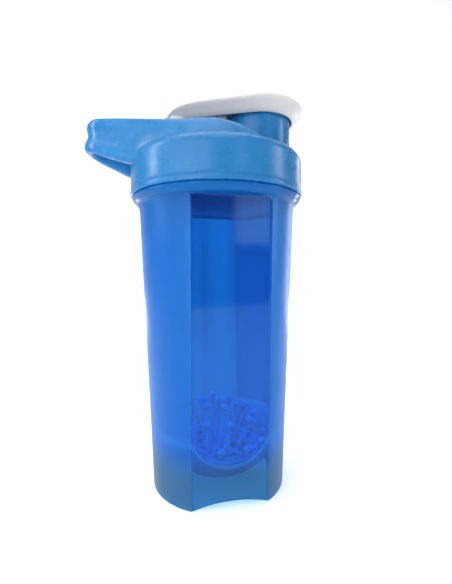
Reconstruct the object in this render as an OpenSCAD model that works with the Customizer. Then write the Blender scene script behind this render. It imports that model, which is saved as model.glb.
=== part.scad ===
// Protein shaker bottle: a tapered cup with a round bottom and two flat windows, a screw lid with
// a carry loop, a spout closed by a flip cap, and a loose pronged mixer that lies in the bowl.
// Millimetres. +Z is up, the origin lies on the bottle's axis in the plane that the foot stands on,
// the carry loop points to -X and the spout to +X.

/* [Cup] */
// Outer radius of the wall at the foot
foot_r = 37.6; // [37:0.1:38.4]
// Outer radius of the wall under the collar
wall_top_r = 43.6; // [43.2:0.1:44]
// Height of the wall up to the collar
wall_h = 157.3; // [140:0.5:165]
// Wall thickness
wall_t = 2; // [1.6:0.1:2.2]
// Width of each flat window
window_w = 40.6; // [34:0.2:42]
// Angle of the windows about the axis
window_turn = 11.5; // [0:0.5:20]
// Height of the arch in the foot under each window
arch_h = 2.8; // [2:0.2:6]
// Outer radius of the round bottom
bowl_r = 38; // [37.8:0.1:38.6]
// Height of the lowest point of the round bottom
bowl_z = 4; // [3.5:0.1:6]
// Outer radius of the collar under the lid
collar_r = 47.5; // [47.3:0.1:48]
// Outer radius of the neck
neck_r = 42.3; // [42:0.1:42.4]
// Height of the neck above the collar
neck_h = 15.8; // [15:0.1:16.5]

/* [Thread] */
// Rise for one full turn of the lid
thread_lead = 8; // [7:0.5:9]
// Number of ridges that start around the neck
thread_starts = 2; // [2:1:2]
// Width of a ridge at its root
thread_root_w = 2; // [1.6:0.1:2.2]
// Width of a ridge at its crest
thread_crest_w = 1; // [0.8:0.1:1.2]

/* [Lid] */
// Outer radius of the lid
lid_r = 48; // [47.5:0.1:48.5]
// Height of the lid from its lower edge to its shoulder
lid_h = 23; // [22.5:0.1:24]
// Radius of the rounded shoulder
shoulder_r = 6; // [4:0.5:6]
// Distance of the spout from the bottle's axis
spout_x = 24.5; // [23:0.5:25]
// Outer radius of the spout
spout_r = 17.5; // [17:0.1:18]
// Wall thickness of the spout
spout_t = 2.5; // [2.2:0.1:2.8]
// Height of the spout's rim
spout_z = 206.5; // [205.5:0.5:207.5]

/* [Carry loop] */
// Radius of the wings' middle line where they follow the lid
wing_r = 36; // [35:0.5:36.5]
// Radius of the middle line at the loop's outer end
loop_end_r = 13; // [11:0.5:14]
// Distance of the loop's outer end from the axis, to the centre of its bend
loop_x = 57.9; // [57:0.1:60]
// Thickness of the band
band_t = 6.8; // [6:0.2:7.2]
// Depth of the hollow that runs along the band's outer side
cove_d = 1.9; // [1:0.1:2.2]

/* [Flip cap] */
// Radius of the cap's edge around the spout
cap_front_r = 25; // [24:0.5:25]
// Radius of the cap's edge at the hinge
cap_back_r = 17; // [15:0.5:17]
// How far the cap's lower edge lies inside its upper edge
cap_flare = 6; // [5:0.5:6]
// Height of the cap's lower edge
cap_z = 204.4; // [204:0.1:204.8]
// Height of the cap from its lower edge to its top
cap_h = 11.3; // [10.5:0.1:11.5]
// Shell thickness of the cap
cap_t = 2; // [1.8:0.1:2.2]

/* [Hinge] */
// Distance of the hinge behind the bottle's axis
hinge_x = 26.5; // [26:0.5:27]
// Height of the hinge's axis
hinge_z = 199.3; // [199:0.1:199.6]
// Radius of the hinge pin
pin_r = 1.5; // [1.3:0.1:1.7]
// Radius of the cap's hinge barrel
barrel_r = 4.1; // [3.8:0.1:4.2]

/* [Mixer] */
// Radius of the mixer's base ring
ring_r = 25.5; // [24:0.1:25.5]
// Thickness of the base ring
ring_t = 4.4; // [4:0.2:4.6]
// Radius of a prong
prong_r = 1.35; // [1.2:0.05:1.5]
// Radius of a prong's round head
head_r = 2.1; // [1.9:0.1:2.2]
// Lean of the mixer where it lies in the bowl
mixer_lean = 3; // [0:0.5:4]

/* [Hidden] */
$fn = 96;

cup_blue = [0.16, 0.42, 0.85, 0.6];
lid_blue = [0.22, 0.56, 0.86];
cap_white = [0.84, 0.86, 0.87];
seal_white = [0.9, 0.92, 0.93];
pin_grey = [0.75, 0.77, 0.8];

gap = 0.15;                                   // between the gasket and its seats
past = 1;                                     // how far a cut runs past what it cuts

collar_h = 4.4;                               // underside to top face
collar_z = wall_h + collar_h;
collar_top_r = 0.9;                           // rounding of the collar's upper edge
// How far the collar's underside stands out from the wall, and how high over the wall's top
collar_under = [[0, -3], [0.2, -1.4], [0.6, -0.4], [1.4, 0.5], [2.5, 1.4], [3.3, 2.4], [3.7, 3.2]];
rim_z = collar_z + neck_h;
neck_in_r = neck_r - wall_t;
window_foot_d = sqrt(foot_r * foot_r - window_w * window_w / 4);
window_top_d = sqrt(wall_top_r * wall_top_r - window_w * window_w / 4);
window_slope = 3;                             // inside, from the windows out to the neck
bowl_c = bowl_z + bowl_r;                     // centre of the outer bowl
bowl_in_r = bowl_r - 0.2;
bowl_in_c = bowl_z + wall_t + bowl_in_r;

thread_depth = 1.5;
thread_sink = 0.3;                            // how far a ridge's root is buried
thread_pitch = thread_lead / thread_starts;
neck_thread_z = collar_z + 3.3;
neck_thread_turn = 420;
lid_thread_turn = 360;
thread_step = 10;
thread_fade = 30;                             // turn over which a ridge grows to full depth

lid_z = collar_z + 0.3;
bore_r = neck_r + thread_depth + 0.8;
deck_under_z = rim_z + 1.8;
deck_z = deck_under_z + 3;
top_z = lid_z + lid_h;
plug_skirt_r = neck_in_r - 0.5;               // inner skirt that enters the neck
plug_skirt_t = 1.3;
lip_h = 3;                                    // band along the lid's lower edge
lip_out = 0.4;
groove_d = 0.4;

cap_crown_x = 13.5;                           // where the cap's top is highest
cap_crown_w = 98.6;                           // distance from there at which its dome would reach down
cap_drop_x = 5;                               // where the top starts to fall towards the hinge
cap_drop_w = 40.2;                            // distance from there at which that fall would reach down
cap_tail_x = hinge_x - 15.2;                  // centre of the cap's rounded tail
plug_r = 13.9;
plug_t = 1.6;
plug_z = spout_z - 3.4;
seal_z = spout_z - 2;
seal_h = 1.4;
seal_groove_r = 13.3;
seal_r = spout_r - spout_t - 0.3;             // clears the spout's bore as the cap swings
barrel_w = 19.6;
ear_gap = 0.3;
ear_t = 3;
ear_back = 3;                                 // from the hinge's axis back to the ear's rear edge
ear_foot = 9;                                 // and forward to its front edge on the deck
pin_play = 0.06;
pin_l = barrel_w + 2 * (ear_gap + ear_t);

ring_z = bowl_in_c - sqrt(pow(bowl_in_r - ring_t / 2 - 0.1, 2) - ring_r * ring_r);
grid_w = 3.2;                                 // rings and spokes that carry the prongs
grid_h = 2.4;
// Each ring of prongs: number, radius of the roots, lean, length
prong_rings = [[1, 0, 0, 27], [6, 6.8, 8, 26], [10, 13.4, 22, 21.5], [12, 20, 44, 11.5]];

// Points of an arc about (cx, cy), from one angle to the other.
function arc(cx, cy, r, from, to, steps = 8) =
    [for (i = [0 : steps]) let (a = from + (to - from) * i / steps) [cx + r * cos(a), cy + r * sin(a)]];

// Outer radius of the cup's wall at a height.
function wall_r(z) = foot_r + (wall_top_r - foot_r) * z / wall_h;

// Value between a and b, with a soft start and end, as t goes from 0 to 1.
function ease(a, b, t) = let (u = min(max(t, 0), 1)) a + (b - a) * u * u * (3 - 2 * u);

// Power of the size of v that keeps the sign of v.
function signed_pow(v, e) = sign(v) * pow(abs(v), e);

// Middle of a section's points.
function middle(section) =
    [for (i = [0 : 2]) let (v = [for (p = section) p[i]]) v * [for (x = v) 1] / len(v)];

// Closed solid through sections that all have the same number of points.
module loft(sections) {
    n = len(sections[0]);
    last = (len(sections) - 1) * n;
    first_mid = last + n;
    sides = [
        for (i = [0 : len(sections) - 2], j = [0 : n - 1])
            let (a = i * n + j, b = i * n + (j + 1) % n)
            each [[a, b, b + n], [a, b + n, a + n]]
    ];
    ends = [
        for (j = [0 : n - 1])
            each [[(j + 1) % n, j, first_mid], [last + j, last + (j + 1) % n, first_mid + 1]]
    ];
    points = [for (s = sections) each s];
    polyhedron(concat(points, [middle(sections[0]), middle(sections[len(sections) - 1])]),
               concat(sides, ends));
}

// ---------------------------------------------------------------- thread

// One helical ridge from radius root to radius crest; z is its middle at angle 0.
module ridge(root, crest, z, from, turn) {
    steps = round(turn / thread_step);
    out = sign(crest - root);
    loft([
        for (i = [0 : steps])
            let (
                a = from + i * thread_step,
                grow = ease(0.15, 1, min(i, steps - i) * thread_step / thread_fade),
                mid = z + thread_lead * a / 360,
                tip = root + (crest - root) * grow,
                side = [[root, -thread_root_w], [tip, -thread_crest_w], [tip, thread_crest_w],
                        [root, thread_root_w]]
            )
            [for (p = out > 0 ? side : [side[3], side[2], side[1], side[0]])
                [p[0] * cos(a), p[0] * sin(a), mid + p[1] / 2]]
    ]);
}

// Evenly spaced ridges of one thread.
module thread(root, crest, z, from, turn) {
    for (k = [0 : thread_starts - 1])
        rotate(k * 360 / thread_starts) ridge(root, crest, z, from, turn);
}

// ---------------------------------------------------------------- cup

// What lies outside both flat windows, moved inward by inset; over them it slopes out to the neck.
module outside_windows(inset, slope) {
    far = 60;
    for (turn = [0, 180])
        rotate(window_turn + turn) rotate([90, 0, 90])
            linear_extrude(2 * far, center = true)
                polygon([[inset - window_foot_d, -past], [inset - window_top_d, wall_h],
                         [inset - window_top_d - slope, wall_h + slope], [-far, wall_h + slope],
                         [-far, -past]]);
}

module cup_outside() {
    rotate_extrude()
        polygon(concat(
            [[0, 0], [foot_r - 0.5, 0], [foot_r, 0.6]],
            [for (p = collar_under) [wall_top_r + p[0], wall_h + p[1]]],
            arc(collar_r - collar_top_r, collar_z - collar_top_r, collar_top_r, 0, 90, 4),
            [[neck_r, collar_z]],
            arc(neck_r - 0.7, rim_z - 0.7, 0.7, 0, 90, 3),
            [[0, rim_z]]
        ));
}

// Space inside the cup: round bottom, tapered wall with flat windows, and the neck.
module cup_inside() {
    join = acos((wall_r(bowl_in_c) - wall_t - 0.4) / bowl_in_r);
    difference() {
        rotate_extrude()
            polygon(concat(
                arc(0, bowl_in_c, bowl_in_r, -90, -join, 14),
                [[wall_top_r - wall_t, wall_h], [neck_in_r, wall_h + 1.6],
                 [neck_in_r, wall_h + window_slope], [0, wall_h + window_slope]]
            ));
        outside_windows(wall_t, window_slope);
    }
    translate([0, 0, wall_h + window_slope - past])
        cylinder(h = neck_h + collar_h, r = neck_in_r - 0.01);
}

// Hollow under the round bottom, inside the skirt.
module foot_hollow() {
    join = acos((wall_r(bowl_c) - wall_t) / bowl_r);
    difference() {
        rotate_extrude()
            polygon(concat([[0, -past], [foot_r - wall_t, -past]],
                           arc(0, bowl_c, bowl_r, -join - 9, -90, 14)));
        outside_windows(wall_t, window_slope);
    }
}

module cup() {
    arch_r = (window_w * window_w / 4 + arch_h * arch_h) / (2 * arch_h);
    color(cup_blue) {
        difference() {
            cup_outside();
            outside_windows(0, 0.01);
            cup_inside();
            foot_hollow();
            for (turn = [0, 180])
                rotate(window_turn + turn) translate([0, -window_foot_d, arch_h - arch_r])
                    rotate([90, 0, 0]) cylinder(h = 10, r = arch_r, center = true, $fn = 180);
        }
        thread(neck_r - thread_sink, neck_r + thread_depth, neck_thread_z, 0, neck_thread_turn);
        translate([0, 0, bowl_z - 1.4]) cylinder(h = 1.6, r = 2.2);
    }
}

// ---------------------------------------------------------------- lid

// Carry loop and wings: one band, given by its middle line in plan.
lean_angle = asin((wing_r - loop_end_r) / loop_x);   // of the straight arms from the X axis
front_angle = 58;                                    // where the wings start, from -Y towards +X
tangent_len = loop_x * cos(lean_angle);

// Plan point and outward direction of the near side, t from 0 at the front to 3 at the outer end.
function band_line(t) =
    t < 1 ? let (a = front_angle - t * (front_angle + lean_angle))
            [wing_r * sin(a), -wing_r * cos(a), sin(a), -cos(a)]
    : t < 2 ? let (n = [-sin(lean_angle), -cos(lean_angle)],
                   p = wing_r * n + (t - 1) * tangent_len * [-n[1], n[0]] * -1)
              [p[0], p[1], n[0], n[1]]
    : let (a = -lean_angle - (t - 2) * (90 - lean_angle))
      [loop_end_r * sin(a) - loop_x, -loop_end_r * cos(a), sin(a), -cos(a)];

// Height of the band's upper and lower edge over a place x.
function band_top(x) = lookup(x, [[-66, 203.5], [-42, 199.6], [-18, 195.6], [-6, 194.9], [2, 194.4],
                                  [12, 192.2], [20, 189.6], [28, 186.4], [34, 184.4]]);
function band_low(x) =
    x > -40 ? ease(175.5, 181, (x + 40) / 12) : 175.5 + 14 * pow((-x - 40) / 35, 1.25);

// Section of the band at t: a rounded rectangle that leans in over the lid and is hollowed outside.
function band_section(t) =
    let (
        q = band_line(t),
        top = band_top(q[0]),
        low = band_low(q[0]),
        h = (top - low) / 2,
        lean = ease(-0.52, -0.1, t - 0.6),
        cove = ease(0, cove_d, t - 0.9),
        round = ease(0.45, 0.75, t - 1.7)
    )
    [for (i = [0 : 19])
        let (
            a = -i * 18,
            z = signed_pow(sin(a), round) * h,
            n = signed_pow(cos(a), round) * band_t / 2 + lean * z
                - (cos(a) > 0 ? cove * exp(-pow((z / h - 0.1) / 0.45, 2)) : 0)
        )
        [q[0] + q[2] * n, q[1] + q[3] * n, (top + low) / 2 + z]];

module band() {
    steps = [for (i = [0 : 11]) i / 12, for (i = [0 : 9]) 1 + i / 10, for (i = [0 : 5]) 2 + i / 6];
    near = [for (t = steps) band_section(t)];
    loft(concat(near, [band_section(3)],
                [for (i = [len(steps) - 1 : -1 : 0]) mirrored(band_section(steps[i]))]));
}

// The same section on the far side, point for point.
function mirrored(section) = [for (p = section) [p[0], -p[1], p[2]]];

module lid_body() {
    rotate_extrude()
        polygon(concat(
            [[0, lid_z], [lid_r, lid_z]],
            arc(lid_r + lip_out - 0.6, lid_z + 0.6, 0.6, -60, 0, 3),
            [[lid_r + lip_out, lid_z + lip_h - 0.6], [lid_r - groove_d, lid_z + lip_h],
             [lid_r, lid_z + lip_h + 0.6]],
            arc(lid_r - shoulder_r, top_z - shoulder_r, shoulder_r, 0, 90, 8),
            [[lid_r - shoulder_r - 4, top_z], [lid_r - shoulder_r - 6, deck_z], [0, deck_z]]
        ));
}

// Space inside the lid: thread bore, gasket seat and the ring-shaped skirt that enters the neck.
module lid_inside() {
    difference() {
        translate([0, 0, lid_z - past]) cylinder(h = deck_under_z - lid_z + past, r = bore_r);
        difference() {
            translate([0, 0, rim_z - 3.5]) cylinder(h = 20, r = plug_skirt_r);
            translate([0, 0, rim_z - 3.5 - past]) cylinder(h = 30, r = plug_skirt_r - plug_skirt_t);
        }
    }
}

module hinge_ear(y) {
    translate([-hinge_x, y + ear_t / 2, 0]) rotate([90, 0, 0])
        linear_extrude(ear_t) {
            translate([0, hinge_z]) circle(r = barrel_r);
            polygon([[-ear_back, deck_z - past], [ear_foot, deck_z - past], [barrel_r, hinge_z],
                     [-ear_back, hinge_z]]);
        }
}

module lid_shell() {
    ear_y = barrel_w / 2 + ear_gap + ear_t / 2;
    color(lid_blue) {
        difference() {
            union() {
                lid_body();
                band();
                translate([spout_x, 0, 0]) rotate_extrude()
                    polygon(concat([[0, deck_z - past], [spout_r + 4, deck_z - past]],
                                   arc(spout_r + 4.5, top_z + 4, 4.5, -100, -180, 6),
                                   arc(spout_r - 0.8, spout_z - 0.8, 0.8, 0, 90, 3), [[0, spout_z]]));
                hinge_ear(ear_y);
                hinge_ear(-ear_y);
            }
            lid_inside();
            translate([spout_x, 0, deck_under_z - past])
                cylinder(h = spout_z - deck_under_z + 2 * past, r = spout_r - spout_t);
            translate([-hinge_x, 0, hinge_z]) rotate([90, 0, 0])
                cylinder(h = pin_l + 2, r = pin_r + 0.02, center = true);
        }
        thread(bore_r + thread_sink, neck_r + 0.7, neck_thread_z + thread_pitch / 2, -90,
               lid_thread_turn);
    }
}

// ---------------------------------------------------------------- flip cap

// Outline of the cap in plan, moved inward by inset: round at both ends, with straight sides.
function cap_outline(inset) =
    let (
        half = acos((cap_front_r - cap_back_r) / (spout_x + cap_tail_x)),
        front_r = cap_front_r - inset,
        back_r = max(cap_back_r - inset, 1.2),
        front = [for (i = [0 : 20]) let (a = 180 - half - i * (360 - 2 * half) / 20)
                 [spout_x + front_r * cos(a), front_r * sin(a)]],
        back = [for (i = [0 : 9]) let (a = 180 + half - i * 2 * half / 9)
                [back_r * cos(a) - cap_tail_x, back_r * sin(a)]],
        side = [for (i = [1 : 5]) front[20] + (back[0] - front[20]) * i / 6]
    )
    concat(front, side, back, [for (i = [4 : -1 : 0]) [side[i][0], -side[i][1]]]);

// Share of its full height that the cap has at a place x: domed, and falling towards the hinge.
function cap_share(x) =
    1 - pow((x - cap_crown_x) / cap_crown_w, 2) - pow(max(0, cap_drop_x - x) / cap_drop_w, 4);

// One level of the cap: how far it lies inside the edge, its share of the height, and the share of
// the shell's thickness that comes off its height.
function cap_level(in, inset, share, thin) =
    [for (p = cap_outline(in + inset)) let (k = cap_share(p[0]))
        [p[0], p[1], cap_z + cap_h * share * k - thin * in * sqrt(k)]];

// Outside of the cap: flared wall, rounded edge and a low domed top. in makes it smaller all round,
// and low takes it below the cap's lower edge.
module cap_solid(in, low) {
    loft(concat(
        [[for (p = cap_outline(in + cap_flare)) [p[0], p[1], cap_z - low]]],
        [for (v = [[0.62 * cap_flare, 0.2, 0], [0.2 * cap_flare, 0.42, 0], [0, 0.555, 0.3],
                   [0.5, 0.66, 0.6], [1.8, 0.765, 0.9], [4, 0.85, 1], [8.5, 0.935, 1],
                   [15.5, 0.965, 1]])
            cap_level(in, v[0], v[1], v[2])]
    ));
}

// Block under the cap's tail that joins the hinge barrel to the shell.
module cap_web(front) {
    translate([0, barrel_w / 2, 0]) rotate([90, 0, 0]) linear_extrude(barrel_w)
        polygon([[-hinge_x, hinge_z + 0.2], [-hinge_x, hinge_z + barrel_r - 0.7],
                 [1.6 - hinge_x, cap_z + 0.2], [1.9 - hinge_x, cap_z + 1.7], [front, cap_z + 1.7],
                 [front, hinge_z + 0.2]]);
}

module flip_cap() {
    web_front = spout_x - spout_r - 1;
    color(cap_white) difference() {
        union() {
            difference() {
                cap_solid(0, 0);
                cap_solid(cap_t, past);
                translate([spout_x, 0, cap_z - past]) cylinder(h = 5, r = spout_r + 0.5);
            }
            intersection() {
                cap_solid(cap_t / 2, cap_h);
                union() {
                    translate([spout_x, 0, plug_z]) cylinder(h = 2 * cap_h, r = plug_r);
                    translate([-hinge_x, -barrel_w / 2, cap_z + 0.6])
                        cube([hinge_x + web_front, barrel_w, 2 * cap_h]);
                }
            }
            cap_web(web_front);
            translate([-hinge_x, 0, hinge_z]) rotate([90, 0, 0])
                cylinder(h = barrel_w, r = barrel_r, center = true);
        }
        translate([spout_x, 0, plug_z - past])
            cylinder(h = cap_z + cap_h - cap_t - plug_z - 1, r = plug_r - plug_t - 0.6);
        translate([spout_x, 0, seal_z]) difference() {
            cylinder(h = seal_h, r = plug_r + 1);
            translate([0, 0, -past]) cylinder(h = seal_h + 2 * past, r = seal_groove_r);
        }
        translate([-hinge_x, 0, hinge_z]) rotate([90, 0, 0])
            cylinder(h = pin_l, r = pin_r + pin_play, center = true);
    }
}

module hinge_pin() {
    color(pin_grey) translate([-hinge_x, 0, hinge_z]) rotate([90, 0, 0])
        cylinder(h = pin_l, r = pin_r, center = true);
}

// ---------------------------------------------------------------- seals

module spout_seal() {
    color(seal_white) translate([spout_x, 0, seal_z + 0.02]) rotate_extrude()
        polygon(concat([[seal_groove_r + 0.02, 0], [seal_r - 0.7, 0]],
                       arc(seal_r - 0.7, seal_h / 2 - 0.02, seal_h / 2 - 0.02, -60, 60, 6),
                       [[seal_r - 0.7, seal_h - 0.04], [seal_groove_r + 0.02, seal_h - 0.04]]));
}

module lid_gasket() {
    color(seal_white) translate([0, 0, rim_z + gap]) difference() {
        cylinder(h = deck_under_z - rim_z - 2 * gap, r = bore_r - 0.3);
        translate([0, 0, -past]) cylinder(h = 5, r = plug_skirt_r + 0.3);
    }
}

// ---------------------------------------------------------------- mixer

module prong(lean, len) {
    rotate([0, lean, 0]) {
        cylinder(h = len, r = prong_r, $fn = 24);
        translate([0, 0, len]) sphere(r = head_r, $fn = 24);
    }
}

module mixer() {
    color(lid_blue)
        translate([0, 0, bowl_in_c]) rotate([0, mixer_lean, 20]) translate([0, 0, ring_z - bowl_in_c]) {
            rotate_extrude() translate([ring_r, 0]) circle(d = ring_t, $fn = 24);
            for (r = [for (p = prong_rings) if (p[1] > 0) p[1]])
                rotate_extrude() translate([r - grid_w / 2, -grid_h / 2]) square([grid_w, grid_h]);
            for (a = [0, 60, 120])
                rotate(a) cube([2 * ring_r, grid_w, grid_h - 0.4], center = true);
            for (p = prong_rings, i = [0 : p[0] - 1])
                rotate(360 * (i + 0.5) / p[0]) translate([p[1], 0, 0]) prong(p[2], p[3]);
        }
}

cup();
lid_shell();
flip_cap();
hinge_pin();
spout_seal();
lid_gasket();
mixer();
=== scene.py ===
"""Looks of a protein shaker bottle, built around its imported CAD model.

The lengths below are millimetres and become metres in build(). +Z is up, the origin lies on the
bottle's axis where the foot stands, the carry loop points to -X and the spout to +X.
"""

import math

import bmesh
import bpy
import numpy as np
from mathutils import Matrix, Vector


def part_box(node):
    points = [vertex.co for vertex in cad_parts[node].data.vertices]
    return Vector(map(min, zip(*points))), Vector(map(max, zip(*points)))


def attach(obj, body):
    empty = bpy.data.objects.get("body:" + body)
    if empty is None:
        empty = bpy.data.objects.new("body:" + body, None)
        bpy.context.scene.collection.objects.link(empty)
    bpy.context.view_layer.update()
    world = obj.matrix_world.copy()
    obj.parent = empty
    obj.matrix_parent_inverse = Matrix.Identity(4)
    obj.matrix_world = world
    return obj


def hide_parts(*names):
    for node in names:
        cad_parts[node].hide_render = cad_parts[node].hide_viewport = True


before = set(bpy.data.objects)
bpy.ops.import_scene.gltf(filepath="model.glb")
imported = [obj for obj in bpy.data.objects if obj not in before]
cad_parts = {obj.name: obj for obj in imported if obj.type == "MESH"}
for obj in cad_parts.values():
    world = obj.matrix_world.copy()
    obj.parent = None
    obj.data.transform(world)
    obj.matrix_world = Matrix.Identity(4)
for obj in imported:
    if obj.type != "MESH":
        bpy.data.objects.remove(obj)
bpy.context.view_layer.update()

MM = 0.001

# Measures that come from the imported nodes
LIP_OUT = 0.4                            # how far the band on the lid's lower edge stands out
RIM_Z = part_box("cup")[1].z / MM
SPOUT_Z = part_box("lid_shell")[1].z / MM
LID_R = (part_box("lid_shell")[1].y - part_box("lid_shell")[0].y) / 2 / MM - LIP_OUT
PIN_LO, PIN_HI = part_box("hinge_pin")
HINGE_X = (PIN_LO.x + PIN_HI.x) / 2 / MM
HINGE_Z = (PIN_LO.z + PIN_HI.z) / 2 / MM
PIN_R = (PIN_HI.x - PIN_LO.x) / 2 / MM

# Cup
FOOT_R, WALL_TOP_R, WALL_H, WALL_T = 37.6, 43.6, 157.3, 2.0
WINDOW_W, WINDOW_TURN, ARCH_H = 40.6, math.radians(11.5), 2.8
BOWL_R, BOWL_Z = 38.0, 4.0
BOWL_IN_R = BOWL_R - 0.2
BOWL_C, BOWL_IN_C = BOWL_Z + BOWL_R, BOWL_Z + WALL_T + BOWL_IN_R     # centres of its two surfaces
FOOT_FADE = 8.0                          # height over which the arches fade out of the wall's rings
COLLAR_R, COLLAR_Z, COLLAR_TOP_R = 47.5, 161.7, 0.9
# How far the collar's underside stands out from the wall, and how high over the wall's top
COLLAR_UNDER = [(1.4, 0.5), (1.95, 0.9), (2.5, 1.4), (2.95, 1.9), (3.3, 2.4), (3.55, 2.8), (3.7, 3.2)]
NECK_R = 42.3
THREAD_LEAD, THREAD_STARTS, THREAD_DEPTH, LID_THREAD_DEPTH = 8.0, 2, 1.5, 1.6
NECK_THREAD_Z, LID_THREAD_Z = COLLAR_Z + 3.3, COLLAR_Z + 5.3
NECK_THREAD_TURN, LID_THREAD_START = math.radians(420), math.radians(-90)
THREAD_FADE = math.radians(30)           # turn over which a ridge grows to full depth

# Lid
LID_Z, LID_TOP, SHOULDER_R = 162.0, 185.0, 6.0
BORE_R, DECK_UNDER, DECK_Z = 44.6, 179.3, 182.3
DECK_R = LID_R - SHOULDER_R - 7.0        # where the shoulder ends and the deck plate begins
SKIRT_R = NECK_R - WALL_T - 0.5          # inner skirt that enters the neck
SPOUT_X, SPOUT_R, SPOUT_T = 24.5, 17.5, 2.5

# Carry loop
WING_R, LOOP_END_R, LOOP_X, BAND_T, COVE_D = 36.0, 13.0, 57.9, 6.8, 1.9
LEAN = math.asin((WING_R - LOOP_END_R) / LOOP_X)     # of the straight arms from the X axis
FRONT = math.radians(58)                 # where the wings start, from -Y towards +X
# Heights of the band's upper edge over places along X
TOP_X = [-80, -66, -54, -42, -30, -18, -6, 2, 12, 20, 28, 34, 40]
TOP_Z = [203.5, 203.5, 201.7, 199.6, 197.4, 195.6, 194.9, 194.4, 192.2, 189.6, 186.4, 184.4, 182.6]

# Flip cap: its edge, the tail's centre, and how the height falls away from the crown
CAP_FRONT_R, CAP_BACK_R, CAP_Z, CAP_TAIL_X = 25.0, 17.0, 204.4, -11.3
CAP_CROWN_X, CAP_CROWN_W, CAP_DROP_X, CAP_DROP_W = 13.5, 98.6, 5, 40.2
CAP_FRONT_STEPS, CAP_BACK_STEPS, CAP_SIDE_STEPS = 72, 40, 16
PLUG_R, PLUG_IN_R, PLUG_Z = 13.9, 11.7, SPOUT_Z - 3.4
SEAL_Z, SEAL_H, SEAL_GROOVE_R = SPOUT_Z - 2.0, 1.4, 13.3

# Hinge
BARREL_R, BARREL_HALF_W, PIN_PLAY = 4.1, 9.8, 0.06

# Mixer
RING_R, RING_T, PRONG_R, HEAD_R = 25.5, 4.4, 1.35, 2.1
MIXER_LEAN, MIXER_TURN = math.radians(3), math.radians(20)
GRID_W, GRID_H, GRID_ROUND = 3.2, 2.4, 0.7
# Each ring of prongs: number, radius of the roots, lean in degrees, length
PRONG_RINGS = [(1, 0, 0, 27), (6, 6.8, 8, 26), (10, 13.4, 22, 21.5), (12, 20, 44, 11.5)]


# ---------------------------------------------------------------- helpers


def ease(a, b, t):
    """From a to b with a soft start and end as t goes from 0 to 1."""
    u = np.clip(t, 0, 1)
    return a + (b - a) * u * u * (3 - 2 * u)


def signed_pow(v, e):
    """Power of the size of v that keeps the sign of v."""
    return np.sign(v) * np.abs(v) ** e


def arc(cx, cy, r, start, stop, steps):
    """Points of an arc about (cx, cy); the angles are in degrees."""
    a = np.radians(np.linspace(start, stop, steps + 1))
    return [(cx + r * math.cos(t), cy + r * math.sin(t)) for t in a]


def skin(rings, first="pole", last="pole"):
    """Vertices and faces of a skin over rings with the same number of points. An end is closed by a
    pole or, where a number is given, by strips between the points on either side of that number.
    first="loop" joins the two ends to each other."""
    rings = np.asarray(rings, float)
    m, n, _ = rings.shape
    verts = rings.reshape(-1, 3).tolist()
    faces = []
    for i in range(m if first == "loop" else m - 1):
        up = (i + 1) % m
        for j in range(n):
            k = (j + 1) % n
            faces.append((i * n + j, i * n + k, up * n + k, up * n + j))
    if first == "loop":
        return verts, faces
    for end, row, turn in ((first, 0, -1), (last, m - 1, 1)):
        if end == "pole":
            verts.append(rings[row].mean(0).tolist())
            caps = [(row * n + j, row * n + (j + 1) % n, len(verts) - 1) for j in range(n)]
        else:
            left = [row * n + (end - 1 - k) % n for k in range(n // 2)]
            right = [row * n + (end + k) % n for k in range(n // 2)]
            caps = [(left[k], right[k], right[k + 1], left[k + 1]) for k in range(n // 2 - 1)]
        faces += [face[::turn] for face in caps]
    return verts, faces


def joined(*shells):
    """Several skins as one list of vertices and one of faces."""
    verts, faces = [], []
    for v, f in shells:
        base = len(verts)
        verts += list(v)
        faces += [tuple(i + base for i in face) for face in f]
    return verts, faces


def build(name, shell, body, material, replaces=()):
    """A smooth-shaded object of a skin in millimetres, which rides on a body."""
    verts, faces = shell
    mesh = bpy.data.meshes.new(name)
    mesh.from_pydata((np.asarray(verts) * MM).tolist(), [], faces)
    bm = bmesh.new()
    bm.from_mesh(mesh)
    bmesh.ops.recalc_face_normals(bm, faces=bm.faces)
    bm.to_mesh(mesh)
    bm.free()
    mesh.shade_smooth()
    obj = bpy.data.objects.new(name, mesh)
    bpy.context.scene.collection.objects.link(obj)
    obj.data.materials.append(material)
    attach(obj, body)
    if replaces:
        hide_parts(*replaces)
    return obj


def lathe(profile, steps, cx=0.0):
    """Rings of a profile of (radius, height) points turned about a vertical axis at x = cx."""
    a = np.linspace(0, 2 * math.pi, steps, endpoint=False)
    return [np.stack([cx + r * np.cos(a), r * np.sin(a), np.full(steps, z)], 1) for r, z in profile]


def across(outline, y):
    """A ring that stands across the Y axis at y, of an outline of (x, z) points."""
    outline = np.asarray(outline)
    return np.stack([outline[:, 0], np.full(len(outline), y), outline[:, 1]], 1)


def turning(angle):
    """Matrix that turns about the vertical axis."""
    c, s = math.cos(angle), math.sin(angle)
    return np.array([[c, -s, 0], [s, c, 0], [0, 0, 1]])


def leaning(angle):
    """Matrix that leans the vertical axis towards +X."""
    c, s = math.cos(angle), math.sin(angle)
    return np.array([[c, 0, s], [0, 1, 0], [-s, 0, c]])


def rounded_rectangle(wide, tall, r, steps, start):
    """Outline of a rectangle with rounded corners, from the corner at the angle start in degrees."""
    points = []
    for a in (start, start + 90, start + 180, start + 270):
        x = math.copysign(wide / 2 - r, math.cos(math.radians(a + 45)))
        z = math.copysign(tall / 2 - r, math.sin(math.radians(a + 45)))
        points += arc(x, z, r, a, a + 90, steps)
    return points


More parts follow.
